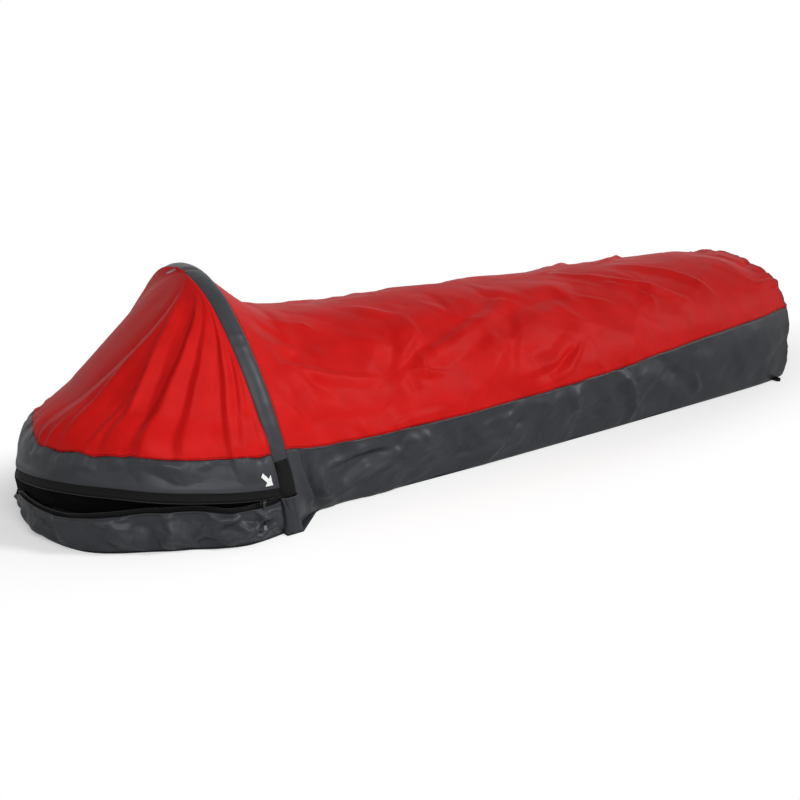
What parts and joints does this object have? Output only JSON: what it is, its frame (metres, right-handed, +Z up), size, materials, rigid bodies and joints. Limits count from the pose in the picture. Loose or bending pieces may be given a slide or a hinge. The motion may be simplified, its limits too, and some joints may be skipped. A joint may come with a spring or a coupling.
{
  "type": "bivy sack",
  "caption": "One-person bivy sack: long bag of coated cloth with a bathtub floor, a hooped hood over the head end and a curved two-way zip.",
  "frame": {"origin": "on the ground, in the middle of the bag's length and width", "axes": "+X from the head end to the foot end, +Y across the bag, +Z up"},
  "size_m": [2.0852, 0.6776, 0.4837],
  "materials": {
    "grey_cloth": "coated ripstop nylon, satin",
    "red_cloth": "coated ripstop nylon, satin",
    "black_tape": "woven polyester tape",
    "zip_coil": "nylon coil",
    "insect_mesh": "fine knitted mesh",
    "webbing": "woven nylon tape",
    "pole_aluminium": "anodised tube",
    "tip_plastic": "moulded nylon",
    "elastic_cord": "braided cover",
    "zip_metal": "black enamel on zinc",
    "pull_rubber": "moulded rubber",
    "buckle_plastic": "moulded acetal"
  },
  "bodies": {
    "shell": {"floor_panel": "grey_cloth", "side_wall_near": "grey_cloth", "side_wall_far": "grey_cloth", "head_wall": "grey_cloth", "top_panel": "red_cloth", "foot_end_panel": "grey_cloth", "shoulder_panel": "red_cloth", "gusset_near": "grey_cloth", "gusset_far": "grey_cloth", "lower_zip_tape": "black_tape", "lower_zip_chain": "zip_coil", "pole_pocket_near": "grey_cloth", "pole_pocket_far": "grey_cloth", "stake_loop_near": "webbing", "stake_loop_far": "webbing", "pad_strap_head": "webbing", "pad_strap_foot": "webbing"},
    "hood": {"pole_section_near": "pole_aluminium", "pole_section_crown": "pole_aluminium", "pole_section_far": "pole_aluminium", "pole_ferrules": "pole_aluminium", "pole_tips": "tip_plastic", "pole_shock_cord": "elastic_cord", "pole_sleeve": "grey_cloth", "sleeve_patch_near": "black_tape", "sleeve_patch_far": "black_tape", "hood_panel": "red_cloth", "hood_skirt": "grey_cloth", "upper_zip_tape": "black_tape", "upper_zip_chain": "zip_coil", "mesh_screen": "insect_mesh", "mesh_hem": "black_tape", "guy_loop": "webbing"},
    "slider_near": {"zip_slider_near": "zip_metal"},
    "slider_far": {"zip_slider_far": "zip_metal"},
    "pull_near": {"zip_pull_near": "zip_metal", "pull_tape_near": "black_tape", "pull_grip_near": "pull_rubber"},
    "pull_far": {"zip_pull_far": "zip_metal", "pull_tape_far": "black_tape", "pull_grip_far": "pull_rubber"},
    "buckle_head": {"strap_buckle_head": "buckle_plastic"},
    "buckle_foot": {"strap_buckle_foot": "buckle_plastic"}
  },
  "joints": [
    {"name": "hood_tilt", "type": "hinge", "parent": "shell", "child": "hood", "pos_m": [-0.6175, 0, 0.008], "axis": [0, 1, 0], "range_deg": [-6, 38], "deforming": ["shoulder_panel", "gusset_near", "gusset_far", "pole_pocket_near", "pole_pocket_far"]},
    {"name": "zip_near", "type": "hinge", "parent": "shell", "child": "slider_near", "pos_m": [-0.7075, 0, 0.086], "axis": [0, 0, -1], "range_deg": [-4, 92]},
    {"name": "zip_far", "type": "hinge", "parent": "shell", "child": "slider_far", "pos_m": [-0.7075, 0, 0.086], "axis": [0, 0, 1], "range_deg": [-4, 92]},
    {"name": "pull_swing_near", "type": "hinge", "parent": "slider_near", "child": "pull_near", "pos_m": [-0.68692, -0.33647, 0.0864], "axis": [-0.9981, -0.061, 0], "range_deg": [0, 150]},
    {"name": "pull_swing_far", "type": "hinge", "parent": "slider_far", "child": "pull_far", "pos_m": [-0.68692, 0.33647, 0.0864], "axis": [0.9981, -0.061, 0], "range_deg": [0, 150]},
    {"name": "buckle_slide_head", "type": "slide", "parent": "shell", "child": "buckle_head", "axis": [0, 1, 0], "range_m": [-0.12, 0.12]},
    {"name": "buckle_slide_foot", "type": "slide", "parent": "shell", "child": "buckle_foot", "axis": [0, 1, 0], "range_m": [-0.12, 0.12]}
  ]
}
